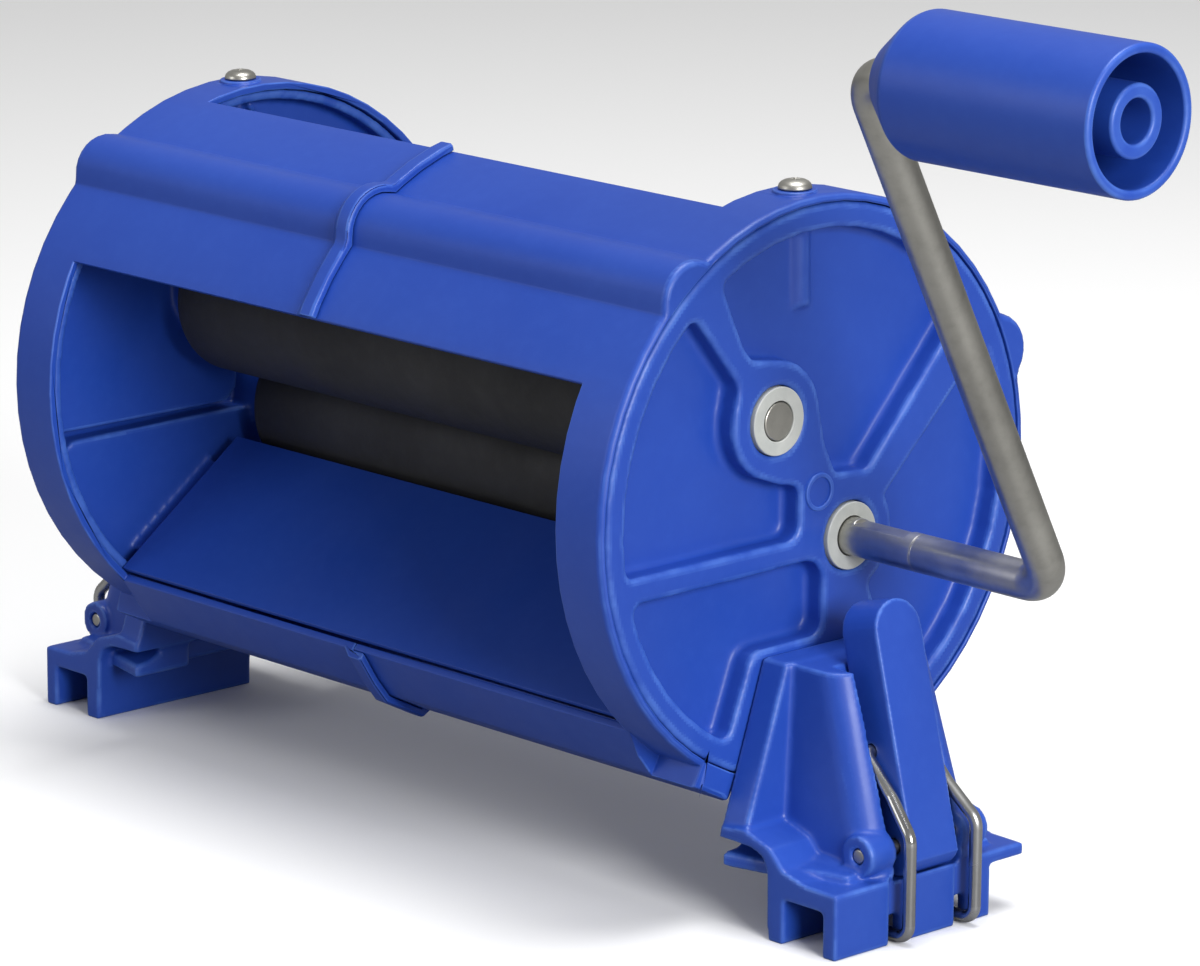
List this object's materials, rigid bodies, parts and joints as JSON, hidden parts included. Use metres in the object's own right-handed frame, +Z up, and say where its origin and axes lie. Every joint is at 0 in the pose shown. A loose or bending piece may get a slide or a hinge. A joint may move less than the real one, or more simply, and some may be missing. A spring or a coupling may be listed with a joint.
{
  "type": "roller wringer",
  "caption": "Clamp-on hand wringer: drum-shaped blue plastic casing open at front and top, two rubber rollers turned by a crank with a hand grip, and a lever-and-wire rim clamp at each end.",
  "frame": {"origin": "middle of the bounding box, level with the soles of the clamps", "axes": "+X along the rollers towards the crank, +Y from the feed opening to the back, +Z up"},
  "size_m": [0.5274, 0.1888, 0.2995],
  "materials": {
    "blue_plastic": "moulded, semi-gloss",
    "pale_nylon": "plain moulded",
    "roller_rubber": "matt",
    "core_plastic": "plain moulded",
    "zinc_steel": "zinc plated, dull",
    "bright_steel": "bright drawn"
  },
  "bodies": {
    "casing": {"casing_sleeve_right": "blue_plastic", "end_cap_right": "blue_plastic", "clamp_housing_right": "blue_plastic", "lever_pin_right": "zinc_steel", "casing_screw_right": "zinc_steel", "clamp_screw_right_front": "zinc_steel", "clamp_screw_right_back": "zinc_steel", "drive_bush_right": "pale_nylon", "idler_bush_right": "pale_nylon", "casing_sleeve_left": "blue_plastic", "end_cap_left": "blue_plastic", "clamp_housing_left": "blue_plastic", "lever_pin_left": "zinc_steel", "casing_screw_left": "zinc_steel", "clamp_screw_left_front": "zinc_steel", "clamp_screw_left_back": "zinc_steel", "drive_bush_left": "pale_nylon", "idler_bush_left": "pale_nylon", "feed_tray": "blue_plastic"},
    "crank_drive": {"crank_rod": "zinc_steel", "cross_pin": "bright_steel", "drive_shaft": "zinc_steel", "drive_roller_core": "core_plastic", "drive_roller_cover": "roller_rubber", "grip_push_nut": "bright_steel"},
    "idler_roller": {"idler_shaft": "zinc_steel", "idler_roller_core": "core_plastic", "idler_roller_cover": "roller_rubber"},
    "crank_grip": {"grip": "blue_plastic"},
    "lever_right": {"clamp_lever_right": "blue_plastic"},
    "lever_left": {"clamp_lever_left": "blue_plastic"},
    "bail_right": {"clamp_bail_right": "bright_steel"},
    "bail_left": {"clamp_bail_left": "bright_steel"}
  },
  "joints": [
    {"name": "crank_turn", "type": "hinge", "parent": "casing", "child": "crank_drive", "pos_m": [-0.06575, 0.0128, 0.1133], "axis": [1, 0, 0], "continuous": true},
    {"name": "idler_turn", "type": "hinge", "parent": "casing", "child": "idler_roller", "pos_m": [-0.06575, -0.0198, 0.1545], "axis": [1, 0, 0], "continuous": true},
    {"name": "grip_turn", "type": "hinge", "parent": "crank_drive", "child": "crank_grip", "pos_m": [0.20525, -0.07333, 0.27805], "axis": [1, 0, 0], "continuous": true},
    {"name": "lever_right_swing", "type": "hinge", "parent": "casing", "child": "lever_right", "pos_m": [0.11875, -0.0014, 0.028], "axis": [0, 1, 0], "range_deg": [0, 90]},
    {"name": "lever_left_swing", "type": "hinge", "parent": "casing", "child": "lever_left", "pos_m": [-0.25025, -0.0014, 0.028], "axis": [0, -1, 0], "range_deg": [0, 90]},
    {"name": "bail_right_swing", "type": "hinge", "parent": "lever_right", "child": "bail_right", "pos_m": [0.10845, -0.0014, 0.05591], "axis": [0, 1, 0], "range_deg": [-135, 0]},
    {"name": "bail_left_swing", "type": "hinge", "parent": "lever_left", "child": "bail_left", "pos_m": [-0.23995, -0.0014, 0.05591], "axis": [0, -1, 0], "range_deg": [-135, 0]}
  ],
  "couplings": [
    {"joint": "idler_turn", "follows": "crank_turn", "ratio": -1},
    {"joint": "bail_right_swing", "follows": "lever_right_swing", "ratio": -1.5},
    {"joint": "bail_left_swing", "follows": "lever_left_swing", "ratio": -1.5}
  ]
}
